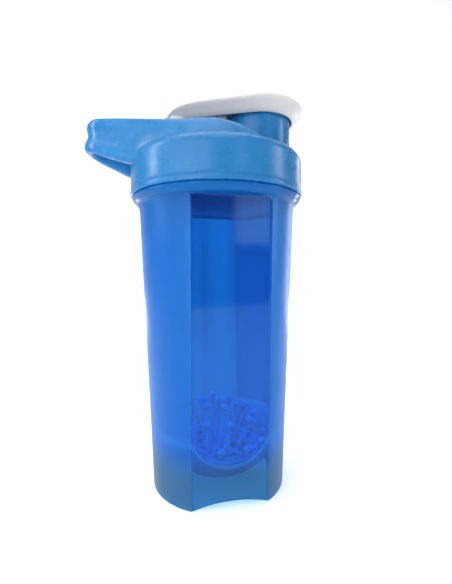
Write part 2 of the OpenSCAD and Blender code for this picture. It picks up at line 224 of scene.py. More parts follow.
def thread_ridge(angle, z, z0, start, turn, root_w=2.0, crest_w=1.0):
    """Share of the full depth, 0 to 1, of a helical thread at an angle and a height. The first ridge has
    its middle at z0 at angle 0, and each ridge fades out at the ends of its turn."""
    out = np.zeros(np.broadcast(angle, z).shape)
    for k in range(THREAD_STARTS):
        own = angle - 2 * math.pi * k / THREAD_STARTS
        for lap in range(-2, 4):
            a = own + 2 * math.pi * lap
            mid = z0 + THREAD_LEAD * a / (2 * math.pi)
            flank = np.clip((root_w / 2 - np.abs(z - mid)) / (root_w / 2 - crest_w / 2), 0, 1)
            fade = np.clip(np.minimum(a - start, start + turn - a) / THREAD_FADE, 0, 1)
            out = np.maximum(out, flank * ease(0, 1, fade))
    return out


# ---------------------------------------------------------------- materials


def new_material(name):
    """A material with its node tree and its Principled shader."""
    material = bpy.data.materials.new(name)
    material.use_nodes = True
    tree = material.node_tree
    shader = tree.nodes["Principled BSDF"]
    return material, tree, shader


def node(tree, kind, **values):
    """A node with properties and input values set by name."""
    n = tree.nodes.new(kind)
    for key, value in values.items():
        if key in n.inputs:
            n.inputs[key].default_value = value
        else:
            setattr(n, key, value)
    return n


def noise(tree, scale, detail=3.0):
    """Noise over the object's own space."""
    place = node(tree, "ShaderNodeTexCoord")
    n = node(tree, "ShaderNodeTexNoise", Scale=scale, Detail=detail)
    tree.links.new(place.outputs["Object"], n.inputs["Vector"])
    return n.outputs["Fac"]


def painted_reflection_streaks(tree):
    """Noise drawn out along the bottle's height: painted reflection streaks, light and dark, for the clear
    windows.
    """
    place = node(tree, "ShaderNodeTexCoord")
    squeeze = node(tree, "ShaderNodeMapping", Scale=(1.0, 1.0, 0.04))
    tree.links.new(place.outputs["Object"], squeeze.inputs["Vector"])
    n = node(tree, "ShaderNodeTexNoise", Scale=130.0, Detail=2.0)
    tree.links.new(squeeze.outputs["Vector"], n.inputs["Vector"])
    return n.outputs["Fac"]


def ramp(tree, fac, low, high, a, b):
    """Colours a to b as fac goes from low to high."""
    r = node(tree, "ShaderNodeValToRGB")
    r.color_ramp.elements[0].position = low
    r.color_ramp.elements[0].color = (*a, 1)
    r.color_ramp.elements[1].position = high
    r.color_ramp.elements[1].color = (*b, 1)
    tree.links.new(fac, r.inputs["Fac"])
    return r.outputs["Color"]


def spread(tree, fac, low, high):
    """A number between low and high as fac goes from 0.3 to 0.7."""
    limits = {"From Min": 0.3, "From Max": 0.7, "To Min": low, "To Max": high}
    m = node(tree, "ShaderNodeMapRange", **limits)
    tree.links.new(fac, m.inputs["Value"])
    return m.outputs["Result"]


def bump(tree, height, strength, distance):
    """A surface direction that follows fine changes of height."""
    b = node(tree, "ShaderNodeBump", Strength=strength, Distance=distance)
    tree.links.new(height, b.inputs["Height"])
    return b.outputs["Normal"]


def blend(tree, fac, a, b):
    """Colour from a to b as fac goes from 0 to 1; each is a socket or a fixed colour."""
    m = node(tree, "ShaderNodeMix", data_type="RGBA")
    tree.links.new(fac, m.inputs["Factor"])
    for key, colour in (("A", a), ("B", b)):
        if isinstance(colour, tuple):
            m.inputs[key].default_value = (*colour, 1)
        else:
            tree.links.new(colour, m.inputs[key])
    return m.outputs["Result"]


def layered(tree, fac, below, above):
    """Shader that goes from below to above as fac goes from 0 to 1; fac is a socket or a number."""
    m = node(tree, "ShaderNodeMixShader")
    if isinstance(fac, float):
        m.inputs["Fac"].default_value = fac
    else:
        tree.links.new(fac, m.inputs["Fac"])
    tree.links.new(below.outputs[0], m.inputs[1])
    tree.links.new(above.outputs[0], m.inputs[2])
    return m


def attribute(tree, name):
    """Value of a named attribute of the mesh."""
    return node(tree, "ShaderNodeAttribute", attribute_name=name).outputs["Fac"]


def moulded_plastic(name, dark, light, rough, glow=None):
    """Moulded plastic: faint clouds of colour, uneven gloss and the mould's fine grain. glow is the
    colour of the light that a thin wall lets through."""
    material, tree, shader = new_material(name)
    link = tree.links.new
    link(ramp(tree, noise(tree, 38.0), 0.35, 0.65, dark, light), shader.inputs["Base Color"])
    link(spread(tree, noise(tree, 160.0, 5.0), rough - 0.04, rough + 0.05), shader.inputs["Roughness"])
    link(bump(tree, noise(tree, 2600.0, 2.0), 0.12, 0.00008), shader.inputs["Normal"])
    shader.inputs["IOR"].default_value = 1.46
    if glow:
        thin = node(tree, "ShaderNodeBsdfTranslucent", Color=(*glow, 1))
        mix = layered(tree, 0.35, shader, thin)
        link(mix.outputs[0], tree.nodes["Material Output"].inputs["Surface"])
    return material


def cup_plastic():
    """Tinted see-through plastic. Where the clear attribute is 1 it is glassy and deep, where it is 0
    the wall is frosted. gloss smooths the surface without clearing it, milk is the share of light that
    the wall scatters, and pale lightens that share as painted light on the bowl and neck. The colours are
    painted darker and greyer towards the foot as shade, and the windows carry painted reflection streaks.
    A lamp's light passes tinted and unbent."""
    material, tree, shader = new_material("cup_translucent")
    link = tree.links.new
    rough = node(tree, "ShaderNodeMapRange", **{"To Min": 0.34, "To Max": 0.03})
    link(attribute(tree, "gloss"), rough.inputs["Value"])
    grain = node(tree, "ShaderNodeMath", operation="MULTIPLY_ADD")
    link(noise(tree, 900.0, 2.0), grain.inputs[0])
    grain.inputs[1].default_value = 0.04
    link(rough.outputs["Result"], grain.inputs[2])
    link(grain.outputs[0], shader.inputs["Roughness"])

    height = node(tree, "ShaderNodeSeparateXYZ")
    link(node(tree, "ShaderNodeTexCoord").outputs["Object"], height.inputs["Vector"])
    # foot is 1 at the bottom and 0 from 30 mm up: the mask of painted shade.
    foot = node(tree, "ShaderNodeMapRange", **{"From Min": 0.030, "From Max": 0.014})
    link(height.outputs["Z"], foot.inputs["Value"])
    frosted = ramp(tree, noise(tree, 30.0), 0.35, 0.65, (0.016, 0.34, 0.70), (0.028, 0.37, 0.74))
    # The windows' colour carries painted vertical reflection streaks.
    glassy = ramp(tree, painted_reflection_streaks(tree), 0.3, 0.7, (0.02, 0.25, 0.60), (0.045, 0.35, 0.74))
    tint = blend(tree, attribute(tree, "clear"), frosted, glassy)
    # Painted shade: the wall's colour turns darker and greyer towards the foot.
    tint = blend(tree, foot.outputs["Result"], tint, (0.05, 0.24, 0.41))
    link(tint, shader.inputs["Base Color"])
    shader.inputs["Transmission Weight"].default_value = 1.0
    shader.inputs["IOR"].default_value = 1.49
    shader.inputs["Specular Tint"].default_value = (0.5, 0.85, 1.0, 1)
    link(bump(tree, noise(tree, 1800.0, 2.0), 0.1, 0.00006), shader.inputs["Normal"])

    # The milk's colour is also painted darker and greyer towards the foot, as shade.
    cloud = ramp(tree, foot.outputs["Result"], 0.0, 1.0, (0.002, 0.20, 0.56), (0.07, 0.20, 0.35))
    # Painted light: where pale is 1, on the bowl and neck, the milk's colour is lightened.
    cloud = blend(tree, attribute(tree, "pale"), cloud, (0.22, 0.62, 0.92))
    milk = node(tree, "ShaderNodeBsdfTranslucent")
    chalk = node(tree, "ShaderNodeBsdfPrincipled", **{"IOR": 1.49, "Specular IOR Level": 0.25})
    link(cloud, milk.inputs["Color"])
    link(cloud, chalk.inputs["Base Color"])
    link(grain.outputs[0], chalk.inputs["Roughness"])
    wall = layered(tree, attribute(tree, "milk"), shader, layered(tree, 0.55, milk, chalk))

    lamp_ray = node(tree, "ShaderNodeLightPath").outputs["Is Shadow Ray"]
    passed = node(tree, "ShaderNodeBsdfTransparent", Color=(0.50, 0.76, 0.93, 1))
    whole = layered(tree, lamp_ray, wall, passed)
    link(whole.outputs[0], tree.nodes["Material Output"].inputs["Surface"])
    return material


def brushed_pin():
    """Drawn steel, worn a little unevenly."""
    material, tree, shader = new_material("pin_steel")
    link = tree.links.new
    link(ramp(tree, noise(tree, 300.0), 0.3, 0.7, (0.50, 0.51, 0.53), (0.60, 0.61, 0.62)),
         shader.inputs["Base Color"])
    link(spread(tree, noise(tree, 1500.0), 0.25, 0.42), shader.inputs["Roughness"])
    shader.inputs["Metallic"].default_value = 1.0
    return material


LID_BLUE = moulded_plastic("lid_blue", (0.018, 0.215, 0.50), (0.028, 0.245, 0.55), 0.27,
                           (0.04, 0.38, 0.74))
CAP_WHITE = moulded_plastic("cap_white", (0.57, 0.566, 0.558), (0.60, 0.594, 0.584), 0.36)
MIXER_BLUE = moulded_plastic("mixer_blue", (0.12, 0.50, 0.92), (0.16, 0.55, 0.95), 0.35)
SEAL_WHITE = moulded_plastic("seal_white", (0.62, 0.65, 0.67), (0.68, 0.70, 0.72), 0.6)
CUP_BLUE = cup_plastic()
PIN_STEEL = brushed_pin()


# ---------------------------------------------------------------- cup


def wall_r(z):
    """Outer radius of the cup's wall at a height."""
    return FOOT_R + (WALL_TOP_R - FOOT_R) * np.clip(z / WALL_H, 0, 1)


def window_d(z):
    """Distance of the flat windows from the axis."""
    return np.sqrt(wall_r(z) ** 2 - (WINDOW_W / 2) ** 2)


def soft_min(a, b, k=4.0):
    """The smaller of two lengths, with a corner rounded over about 1/k."""
    m = np.minimum(a, b)
    return m - np.log(np.exp(-k * (a - m)) + np.exp(-k * (b - m))) / k


def near_corner():
    """Places across half a window and half a curved wall that gather at the corner between them."""
    close = [0.25, 0.55, 0.95, 1.5, 2.3]
    half = WINDOW_W / 2
    window = [half - c for c in close][::-1]
    window = list(np.linspace(0, window[0] - 1.2, 12)) + window
    return np.array(window), np.array(close)


WINDOW_X, CORNER_STEPS = near_corner()
CURVE_STEPS = 34
WIDEST = 1.2                             # largest angle at which a window's plane is followed
EDGE_ANGLE = 0.004                       # angle over which a window's look ends at its corner
WALL_MILK, WINDOW_MILK = 0.42, 0.05


def ring_angles(z):
    """Angles round the cup, the same number at every height, that follow the windows' corners."""
    d, r = window_d(z), wall_r(z)
    corner = math.atan2(WINDOW_W / 2, d)
    half_window = np.arctan2(WINDOW_X, d)
    near = corner + CORNER_STEPS / r
    curve = np.linspace(near[-1], math.pi - near[-1], CURVE_STEPS)[1:-1]
    quarter = np.concatenate([half_window, [corner], near])
    right = np.concatenate([quarter, curve, math.pi - quarter[::-1]])
    return np.concatenate([right, right[1:-1] + math.pi])


def beside(level):
    """Angles of a level, measured from the middle of the nearer window."""
    return np.abs((ring_angles(level) + math.pi / 2) % math.pi - math.pi / 2)


def in_window(level):
    """1 where an angle of a level lies within a window, else 0, with the corner itself at 0.5."""
    corner = math.atan2(WINDOW_W / 2, window_d(level))
    return np.clip((corner - beside(level)) / EDGE_ANGLE + 0.5, 0, 1)


def held_in(radius, z, inset, off):
    """A radius kept inset inside the windows' planes."""
    return soft_min(radius, (window_d(z) - inset) / np.cos(np.minimum(off, WIDEST)))


def cup_ring(radius, z, inset=None, lift=0.0, level=None):
    """One ring of the cup; inset keeps it that far inside the windows' planes, lift raises it over
    the foot's arches, and level is the height whose angles it takes."""
    level = z if level is None else level
    off = beside(level)
    r = radius + np.zeros(off.shape)
    if inset is not None:
        r = held_in(r, z, inset, off)
    sideways = window_d(level) * np.tan(np.minimum(off, WIDEST))
    arch_r = (WINDOW_W ** 2 / 4 + ARCH_H ** 2) / (2 * ARCH_H)
    arch = np.sqrt(np.maximum(arch_r ** 2 - sideways ** 2, 0)) - (arch_r - ARCH_H)
    turned = ring_angles(level) - math.pi / 2 + WINDOW_TURN
    return np.stack([r * np.cos(turned), r * np.sin(turned), z + lift * np.maximum(arch, 0)], 1)


BOWL_LEVEL = 26.0                        # height whose angles the round bottom takes


def bowl_edge(radius, centre):
    """Height at which the round bottom meets the wall's inside, at each of its angles."""
    off = beside(BOWL_LEVEL)
    z = np.full(off.shape, BOWL_LEVEL)
    for _ in range(20):
        reach = held_in(wall_r(z) - WALL_T, z, WALL_T, off)
        z = centre - np.sqrt(np.maximum(radius ** 2 - reach ** 2, 0))
    return z


def cup():
    """One closed skin from the middle of the bowl's underside, down the skirt, up the outer wall and
    neck, and down the inside to the middle of the bowl."""
    rings, clear, gloss, milk, pale = [], [], [], [], []

    def put(ring, level, window=0.0, shine=0.0, cloud=WALL_MILK, light=0.0):
        """Add a ring and its look: window clears it within the windows, and shine, cloud and light are
        the gloss, milk and pale of the rest; pale is painted light."""
        rings.append(ring)
        clear.append(in_window(level) * window)
        gloss.append(np.maximum(clear[-1], shine))
        milk.append(cloud + (WINDOW_MILK - cloud) * clear[-1])
        pale.append(np.full(len(ring), light))

    def bowl(radius, centre, shares, cloud):
        """Add rings of the round bottom, at shares of its reach from the middle."""
        reach = np.arccos((centre - bowl_edge(radius, centre)) / radius)
        for share in shares:
            t = reach * share
            # The bowl's rings are marked pale: painted light for the bowl's pale reflection.
            put(cup_ring(radius * np.sin(t), centre - radius * np.cos(t), level=BOWL_LEVEL),
                BOWL_LEVEL, 0.0, 0.7, cloud, 1.0)

    # neck_look's last number marks the neck pale, as painted light for a lit inside; the bowl's underside
    # below is marked the same way.
    collar_look, neck_look = (0.0, 0.8, 0.7), (0.0, 0.5, 0.8, 1.0)

    for r, z in ((0.6, 2.6), (1.6, 2.6), (2.1, 2.8), (2.3, 3.4), (2.6, 4.0), (3.4, 4.2)):
        put(cup_ring(r, z, level=BOWL_LEVEL), BOWL_LEVEL, 0.0, 0.7, 0.7, 1.0)
    bowl(BOWL_R, BOWL_C, np.linspace(0.14, 0.995, 30), 0.7)
    edge = bowl_edge(BOWL_R, BOWL_C)
    for share in np.concatenate([[0.0, 0.02], np.linspace(0.08, 1, 15)]):
        z = edge + (1.0 - edge) * share
        level = BOWL_LEVEL * (1 - share)
        lift = 1 - np.clip(z / FOOT_FADE, 0, 1)
        put(cup_ring(wall_r(z) - WALL_T, z, WALL_T, lift, level), level, 1.0)
    for dr, z in ((-WALL_T + 0.1, 0.3), (-WALL_T + 0.45, 0.0), (-0.45, 0.0), (-0.12, 0.15), (0, 0.5)):
        put(cup_ring(wall_r(z) + dr, z, -dr, 1.0, level=0), 0, 1.0)
    for z in np.concatenate([np.linspace(1.2, FOOT_FADE, 7), np.linspace(12, WALL_H - 5, 42)]):
        put(cup_ring(wall_r(z), z, 0, 1 - min(z / FOOT_FADE, 1)), z, 1.0)
    for out, up in ((0.0, -3.0), (0.07, -2.2), (0.2, -1.4), (0.36, -0.9), (0.6, -0.4), (0.85, -0.1)):
        put(cup_ring(WALL_TOP_R + out, WALL_H + up, 0), WALL_H + up, 1.0)
    for out, up in ((0.3, 0.02), (1.0, 0.12), (1.7, 0.3)):
        put(cup_ring(WALL_TOP_R + 0.9 + out * 0.2, WALL_H + up, -out * 3.5, level=WALL_H), WALL_H)
    collar = [(WALL_TOP_R + out, WALL_H + up) for out, up in COLLAR_UNDER]
    collar += arc(COLLAR_R - COLLAR_TOP_R, COLLAR_Z - COLLAR_TOP_R, COLLAR_TOP_R, 0, 90, 6)
    collar += [(NECK_R + 2.5, COLLAR_Z), (NECK_R + 0.5, COLLAR_Z), (NECK_R, COLLAR_Z + 0.4)]
    for r, z in collar:
        put(cup_ring(r, z, level=WALL_H), WALL_H, *collar_look)
    a = ring_angles(WALL_H) - math.pi / 2 + WINDOW_TURN
    for z in np.linspace(COLLAR_Z + 0.8, RIM_Z - 1.0, 40):
        out = THREAD_DEPTH * thread_ridge(a % (2 * math.pi), z, NECK_THREAD_Z, 0, NECK_THREAD_TURN)
        ring = cup_ring(NECK_R, z, level=WALL_H)
        ring[:, :2] *= ((NECK_R + out) / NECK_R)[:, None]
        put(ring, WALL_H, *neck_look)
    rim = arc(NECK_R - 0.7, RIM_Z - 0.7, 0.7, 15, 90, 4)
    rim += arc(NECK_R - WALL_T + 0.6, RIM_Z - 0.6, 0.6, 90, 180, 4)
    for r, z in rim:
        put(cup_ring(r, z, level=WALL_H), WALL_H, *neck_look)
    for z in (RIM_Z - 3, RIM_Z - 8, WALL_H + 4, WALL_H + 3.2):
        put(cup_ring(NECK_R - WALL_T, z, level=WALL_H), WALL_H, *neck_look)
    for z in (WALL_H + 2.4, WALL_H + 1.2, WALL_H + 0.2):
        put(cup_ring(NECK_R - WALL_T + 0.3, z, WALL_T - (z - WALL_H) * 1.2, level=WALL_H), WALL_H)
    edge = bowl_edge(BOWL_IN_R, BOWL_IN_C)
    for share in np.concatenate([np.linspace(0, 0.97, 42), [0.985, 1.0]]):
        z = (WALL_H - 1) * (1 - share) + edge * share
        level = (WALL_H - 1) * (1 - share) + BOWL_LEVEL * share
        put(cup_ring(wall_r(z) - WALL_T, z, WALL_T, level=level), level, 1.0, 0.5)
    bowl(BOWL_IN_R, BOWL_IN_C, np.linspace(0.995, 0.03, 38), 0.5)

    obj = build("cup_body", skin(rings), "cup", CUP_BLUE, ["cup"])
    for name, rows in (("clear", clear), ("gloss", gloss), ("milk", milk), ("pale", pale)):
        values = np.concatenate([np.concatenate(rows), [0.0, 0.0]]).astype(np.float32)
        obj.data.attributes.new(name, "FLOAT", "POINT").data.foreach_set("value", values)


# ---------------------------------------------------------------- lid


def clear_of_bore(points):
    """Points moved out of the round passage under the spout."""
    out = np.array(points, float)
    dx, dy = out[:, 0] - SPOUT_X, out[:, 1]
    far = np.hypot(dx, dy)
    grow = np.maximum(1, (SPOUT_R - SPOUT_T + 0.4) / np.maximum(far, 1e-6))
    out[:, 0], out[:, 1] = SPOUT_X + dx * grow, dy * grow
    return out


def lid_ring():
    """Shoulder, side and lip of the lid with its threaded bore, gasket seat and inner skirt, and the
    deck plate with the hole under the spout."""
    steps = 240
    outside = ([(DECK_R, DECK_Z - 1.0), (DECK_R + 0.6, DECK_Z + 0.2)]
               + arc(LID_R - SHOULDER_R - 3.8, LID_TOP - 0.9, 0.9, 160, 90, 4)
               + [(LID_R - SHOULDER_R - 1.5, LID_TOP)]
               + arc(LID_R - SHOULDER_R, LID_TOP - SHOULDER_R, SHOULDER_R, 90, 0, 18)
               + [(LID_R, z) for z in (177, 174, 171, 168.5, 166.6)]
               + [(LID_R, 165.7), (LID_R - 0.12, 165.35), (LID_R - 0.38, 165.1), (LID_R - 0.4, 164.9),
                  (LID_R - 0.1, 164.65)]
               + arc(LID_R - 0.5, LID_Z + 1.7, 0.9, 50, 0, 4)
               + arc(LID_R - 0.5, LID_Z + 0.9, 0.9, 0, -90, 6)
               + [(BORE_R + 0.5, LID_Z), (BORE_R + 0.1, LID_Z + 0.3)])
    rings = lathe(outside, steps)
    a = np.linspace(0, 2 * math.pi, steps, endpoint=False)
    for z in np.linspace(LID_Z + 0.8, RIM_Z, 44):
        r = BORE_R - LID_THREAD_DEPTH * thread_ridge(a, z, LID_THREAD_Z, LID_THREAD_START, 2 * math.pi)
        rings.append(np.stack([r * np.cos(a), r * np.sin(a), np.full(steps, z)], 1))
    rings += lathe([(BORE_R, DECK_UNDER - 0.4), (BORE_R - 0.3, DECK_UNDER), (SKIRT_R + 0.3, DECK_UNDER),
                    (SKIRT_R, DECK_UNDER - 0.4), (SKIRT_R, RIM_Z - 3.1), (SKIRT_R - 0.3, RIM_Z - 3.5),
                    (SKIRT_R - 1.0, RIM_Z - 3.5), (SKIRT_R - 1.3, RIM_Z - 3.1),
                    (SKIRT_R - 1.3, DECK_UNDER - 0.5), (SKIRT_R - 1.8, DECK_UNDER),
                    (DECK_R, DECK_UNDER + 1.0)], steps)
    ring = skin([clear_of_bore(r) for r in rings], first="loop")

    edge = np.stack([(DECK_R + 2.4) * np.cos(a), (DECK_R + 2.4) * np.sin(a)], 1)
    hole_r = SPOUT_R - SPOUT_T + 0.8
    hole = np.stack([SPOUT_X + hole_r * np.cos(a), hole_r * np.sin(a)], 1)
    plate = []
    shares = (0, 0.25, 0.5, 0.75, 1)
    for share, z in [(t, DECK_Z) for t in shares] + [(t, DECK_UNDER) for t in shares[::-1]]:
        flat = edge + (hole - edge) * share
        plate.append(clear_of_bore(np.column_stack([flat, np.full(steps, z)])))
    build("lid_ring", joined(ring, skin(plate, first="loop")), "lid", LID_BLUE, ["lid_shell"])


def band_line(t):
    """Plan point and outward direction of the loop's near side: t goes from 0 at the front, over 1 and
    2 at the ends of the straight arm, to 3 at the outer end."""
    if t < 1:
        a = FRONT - t * (FRONT + LEAN)
        n = np.array([math.sin(a), -math.cos(a)])
        return WING_R * n, n
    if t < 2:
        n = np.array([-math.sin(LEAN), -math.cos(LEAN)])
        along = np.array([n[1], -n[0]])
        return WING_R * n + (t - 1) * LOOP_X * math.cos(LEAN) * along, n
    a = -LEAN - (t - 2) * (math.pi / 2 - LEAN)
    n = np.array([math.sin(a), -math.cos(a)])
    return LOOP_END_R * n - np.array([LOOP_X, 0]), n


def band_top(x):
    """Height of the band's upper edge over a place x, as a smooth curve through a few places."""
    slopes = np.gradient(TOP_Z, TOP_X)
    i = int(np.clip(np.searchsorted(TOP_X, x) - 1, 0, len(TOP_X) - 2))
    w = TOP_X[i + 1] - TOP_X[i]
    u = (x - TOP_X[i]) / w
    return ((2 * u ** 3 - 3 * u ** 2 + 1) * TOP_Z[i] + (u ** 3 - 2 * u ** 2 + u) * w * slopes[i]
            + (3 * u ** 2 - 2 * u ** 3) * TOP_Z[i + 1] + (u ** 3 - u ** 2) * w * slopes[i + 1])


def band_low(x):
    """Height of the band's lower edge over a place x."""
    if x > -40:
        return float(ease(175.5, 181, (x + 40) / 12))
    return 175.5 + 14 * ((-x - 40) / 35) ** 1.25


def band_section(t, points=64):
    """Section of the band: a rounded rectangle that leans in over the lid and is hollowed outside. Its
    lower edge keeps out of the lid's bore and off the gasket."""
    (px, py), (nx, ny) = band_line(t)
    top, low = band_top(px), band_low(px)
    h = (top - low) / 2
    lean = ease(-0.52, -0.1, t - 0.6)
    cove = ease(0, COVE_D, t - 0.9)
    corner = ease(0.45, 0.75, t - 1.7)
    a = -np.linspace(0, 2 * math.pi, points, endpoint=False)
    z = signed_pow(np.sin(a), corner) * h
    n = signed_pow(np.cos(a), corner) * BAND_T / 2 + lean * z
    n -= np.where(np.cos(a) > 0, cove * np.exp(-((z / h - 0.1) / 0.45) ** 2), 0)
    x, y, z = px + nx * n, py + ny * n, (top + low) / 2 + z
    grow = np.where(z < DECK_UNDER + 2.2, np.maximum(1, (BORE_R + 0.5) / np.hypot(x, y)), 1)
    return np.stack([x * grow, y * grow, z], 1)


def carry_loop():
    """The wings over the lid and the loop, one band."""
    steps = np.concatenate([np.linspace(0, 1, 44)[:-1], np.linspace(1, 2, 30)[:-1],
                            np.linspace(2, 3, 24)])
    near = [band_section(t) for t in steps]
    far = [s * np.array([1, -1, 1]) for s in near[:-1]][::-1]
    build("carry_loop", skin(near + far), "lid", LID_BLUE)


def spout():
    """Tube over the drinking opening, with a rounded rim and a flared root."""
    r_in = SPOUT_R - SPOUT_T
    profile = ([(r_in, DECK_UNDER + 0.3), (r_in, 195), (r_in, SPOUT_Z - 1.2)]
               + arc(r_in + 0.6, SPOUT_Z - 0.6, 0.6, 180, 90, 4)
               + arc(SPOUT_R - 0.8, SPOUT_Z - 0.8, 0.8, 90, 0, 5)
               + [(SPOUT_R, 200), (SPOUT_R, 194)]
               + arc(SPOUT_R + 4.5, LID_TOP + 4, 4.5, 180, 260, 10)
               + [(SPOUT_R + 4, DECK_Z - 0.5), (SPOUT_R, DECK_UNDER + 0.3)])
    build("spout", skin(lathe(profile, 128, SPOUT_X), first="loop"), "lid", LID_BLUE)


def hinge_ears():
    """Two ears on the deck that hold the pin, each a rounded outline with softened edges."""
    outline = np.array(arc(0, HINGE_Z, BARREL_R, 0, 180, 14)
                       + [(-3.0, HINGE_Z - 3), (-3.0, DECK_Z - 0.5), (9.0, DECK_Z - 0.5),
                          (6.6, HINGE_Z - 9)])
    middle, reach = np.array([0.5, HINGE_Z - 5]), 8.0
    shells = []
    for side in (-1, 1):
        rings = []
        for y, inset in ((10.1, 0.35), (10.3, 0.1), (10.6, 0), (12.6, 0), (12.9, 0.1), (13.1, 0.35)):
            p = middle + (outline - middle) * (1 - inset / reach)
            rings.append(across(p + [HINGE_X, 0], side * y))
        shells.append(skin(rings))
    build("hinge_ears", joined(*shells), "lid", LID_BLUE)


# ---------------------------------------------------------------- flip cap


def cap_outline(inset):
    """Plan points of the cap inside its edge: round at both ends, with straight sides."""
    half = math.acos((CAP_FRONT_R - CAP_BACK_R) / (SPOUT_X - CAP_TAIL_X))
    a = np.linspace(-(math.pi - half), math.pi - half, CAP_FRONT_STEPS)
    b = np.linspace(math.pi - half, math.pi + half, CAP_BACK_STEPS)
    rf, rb = max(CAP_FRONT_R - inset, 1.5), max(CAP_BACK_R - inset, 0.8)
    front = np.stack([SPOUT_X + rf * np.cos(a), rf * np.sin(a)], 1)
    back = np.stack([CAP_TAIL_X + rb * np.cos(b), rb * np.sin(b)], 1)
    t = np.linspace(0, 1, CAP_SIDE_STEPS + 2)[1:-1, None]
    return np.vstack([front, front[-1] * (1 - t) + back[0] * t, back, back[-1] * (1 - t) + front[0] * t])


def cap_share(x):
    """Share of its full height that the cap has at a place x: domed, and falling to the hinge."""
    dome = ((x - CAP_CROWN_X) / CAP_CROWN_W) ** 2
    drop = (np.maximum(0, CAP_DROP_X - x) / CAP_DROP_W) ** 4
    return 1 - dome - drop


def cap_ring(inset, height, thin=0.0):
    """A level of the cap; thin is taken off its height on the inside of the shell."""
    plan = cap_outline(inset)
    share = cap_share(plan[:, 0])
    return np.column_stack([plan, CAP_Z + height * share - thin * np.sqrt(share)])


def flip_cap():
    """Flared shell with a rounded edge and a low domed top. A level of the outside is its inset and
    height, and one of the inside has the shell's thickness too."""
    outer = [(6, 0), (5.5, 0.05), (3.96, 2.2), (2.16, 3.75), (0.8, 4.9), (0.1, 5.7), (0, 6.25),
             (0.35, 7.15), (1.1, 8.0), (2.3, 8.75), (4.2, 9.5), (7, 10.1), (10.5, 10.45), (14, 10.65),
             (17, 10.75), (21, 10.8), (24, 10.83)]
    inner = [(24, 10.8, 2), (20, 10.8, 2), (16, 10.7, 2), (10, 10.4, 2), (5.5, 9.6, 1.8), (3.6, 8.6, 1.6),
             (2.6, 7.4, 1.3), (2.2, 6.3, 0.7), (2.8, 5.0, 0.3), (3.9, 3.6, 0.1), (5.4, 1.8, 0.0),
             (6.9, 0.2, 0.0)]
    middle = CAP_FRONT_STEPS // 2
    shell = skin([cap_ring(*p) for p in inner + outer], middle, middle)
    build("flip_cap_shell", shell, "cap", CAP_WHITE, ["flip_cap"])


def cap_plug():
    """Hollow plug that enters the spout, with the groove of its seal."""
    roof = CAP_Z + 9.4
    profile = [(PLUG_IN_R, roof), (PLUG_IN_R, PLUG_Z + 0.8), (PLUG_IN_R + 0.4, PLUG_Z + 0.1),
               (PLUG_IN_R + 0.8, PLUG_Z), (PLUG_R - 0.5, PLUG_Z), (PLUG_R - 0.1, PLUG_Z + 0.4),
               (PLUG_R, PLUG_Z + 0.8), (PLUG_R, SEAL_Z - 0.02), (SEAL_GROOVE_R, SEAL_Z),
               (SEAL_GROOVE_R, SEAL_Z + SEAL_H), (PLUG_R, SEAL_Z + SEAL_H + 0.02), (PLUG_R, SPOUT_Z + 2),
               (PLUG_R, roof)]
    rings = np.array(lathe(profile, 128, SPOUT_X))
    lift = (roof - CAP_Z) * (cap_share(rings[:, :, 0]) - 1)
    rings[:, :, 2] += np.where(rings[:, :, 2] == roof, lift, 0)
    build("cap_plug", skin(rings, first="loop"), "cap", CAP_WHITE)


def cap_hinge():
    """Barrel bored for the pin, and the web that joins it to the cap."""
    bore_r, ends = PIN_R + PIN_PLAY, BARREL_HALF_W
    section = [(bore_r, -ends), (BARREL_R - 0.45, -ends), (BARREL_R, -ends + 0.5), (BARREL_R, ends - 0.5),
               (BARREL_R - 0.45, ends), (bore_r, ends)]
    tube = [across(arc(HINGE_X, HINGE_Z, r, 0, 360, 72)[:-1], y) for r, y in section]
    outline = np.array([(5.8, 206.0), (-20, 206.1), (-24.4, 206.0), (-24.8, 204.9)]
                       + arc(HINGE_X, HINGE_Z, BARREL_R - 0.9, 70, -42, 12)
                       + [(-21.5, 198.6), (-19, 199.4), (2.6, 199.7), (4.6, 200.3), (5.8, 201.6)])
    pull = np.array([-10, 202.0]) - outline
    pull /= np.linalg.norm(pull, axis=1)[:, None]
    rounding = [(-ends, 0.45), (-ends + 0.15, 0.15), (-ends + 0.5, 0), (ends - 0.5, 0), (ends - 0.15, 0.15),
                (ends, 0.45)]
    web = [across(outline + pull * inset, y) for y, inset in rounding]
    build("cap_hinge", joined(skin(tube, first="loop"), skin(web)), "cap", CAP_WHITE)


# ---------------------------------------------------------------- mixer


def prong(root, lean, turn, length):
    """A slightly tapered rod with a round head; turn is the direction in which it leans."""
    neck_r = PRONG_R * 0.94
    profile = [(PRONG_R * 1.25, -0.6), (PRONG_R * 1.12, 1.2), (PRONG_R, 3.0),
               (neck_r, length - HEAD_R * 0.72)]
    profile += arc(0, length, HEAD_R, math.degrees(math.asin(neck_r / HEAD_R)) - 90, 84, 9)
    rings = np.array(lathe(profile, 20))
    return skin((rings @ leaning(lean).T + np.array([root, 0, 0])) @ turning(turn).T)


def hoop(r, wide, tall, round_r, steps=96):
    """A hoop with a rounded rectangular section about the mixer's axis."""
    section = rounded_rectangle(wide, tall, round_r, 4, -90)
    return skin(lathe([(r + x, z) for x, z in section], steps), first="loop")


def spoke(angle):
    """A bar right across the base ring."""
    section = rounded_rectangle(GRID_W, GRID_H - 0.4, GRID_ROUND, 3, 0)
    bar = np.array([[(x, y, z) for y, z in section] for x in np.linspace(-RING_R, RING_R, 12)])
    return skin(bar @ turning(angle).T)


